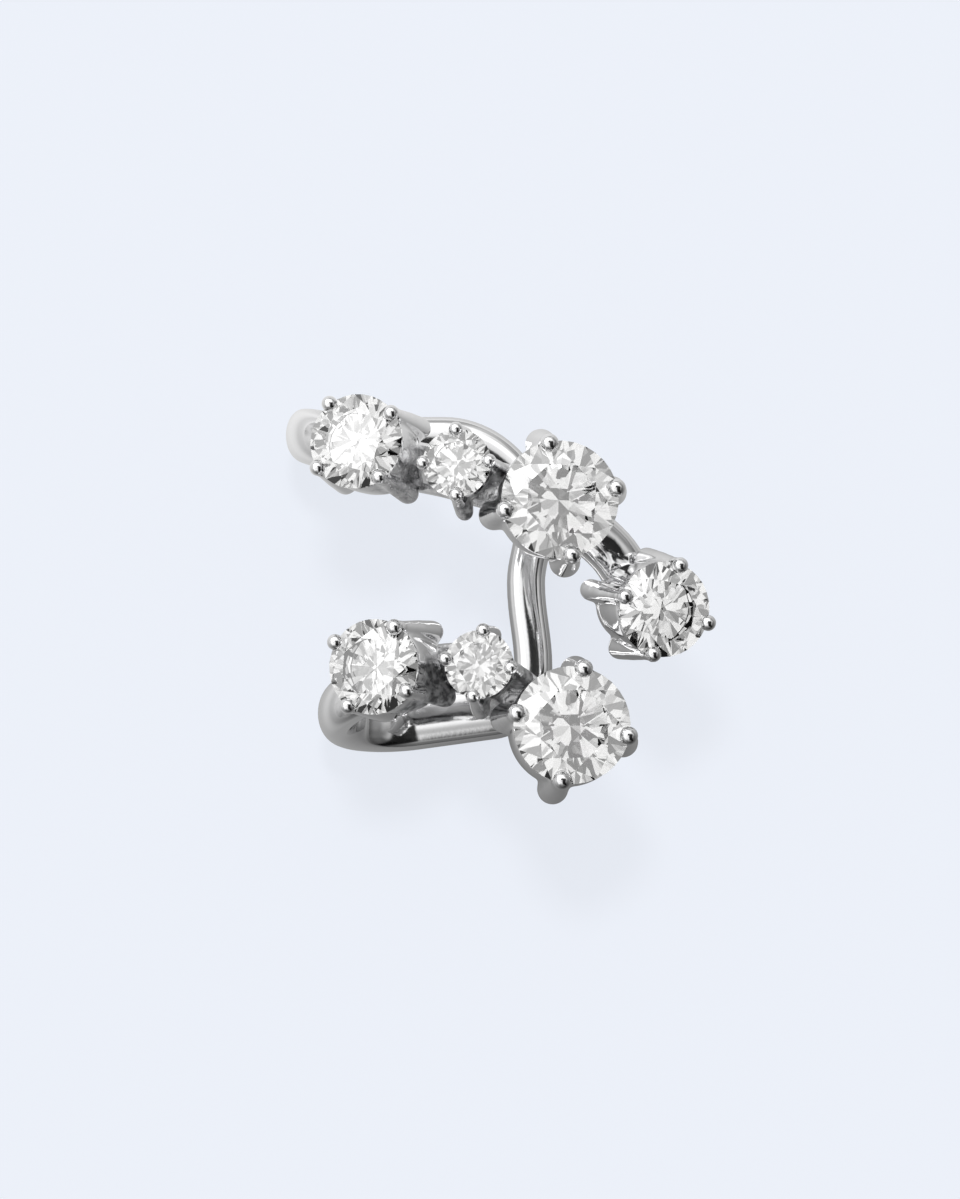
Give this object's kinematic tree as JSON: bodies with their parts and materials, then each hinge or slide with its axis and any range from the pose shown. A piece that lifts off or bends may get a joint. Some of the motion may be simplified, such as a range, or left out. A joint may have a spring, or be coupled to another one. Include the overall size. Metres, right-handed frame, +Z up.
{
  "type": "ear cuff",
  "caption": "Ear cuff: a silver band bent into two hairpin loops that clasp the rim of the ear, with round cut stones in claw settings along the front.",
  "frame": {"origin": "on the surface that the cuff lies on, under the middle of its bounding box", "axes": "+Z up, out of the stones; +X from the bends of the loops to the open mouth; +Y from the lower row of stones to the upper row, along the rim of the ear"},
  "size_m": [0.0146, 0.0144, 0.0113],
  "materials": {
    "polished_silver": "polished sterling silver with a thin rhodium plate",
    "clear_stone": "clear cut cubic zirconia, polished facets"
  },
  "bodies": {
    "root": {"cuff_frame": "polished_silver", "upper_stone_1": "clear_stone", "upper_stone_2": "clear_stone", "upper_stone_3": "clear_stone", "upper_stone_4": "clear_stone", "lower_stone_1": "clear_stone", "lower_stone_2": "clear_stone", "lower_stone_3": "clear_stone"}
  },
  "joints": []
}
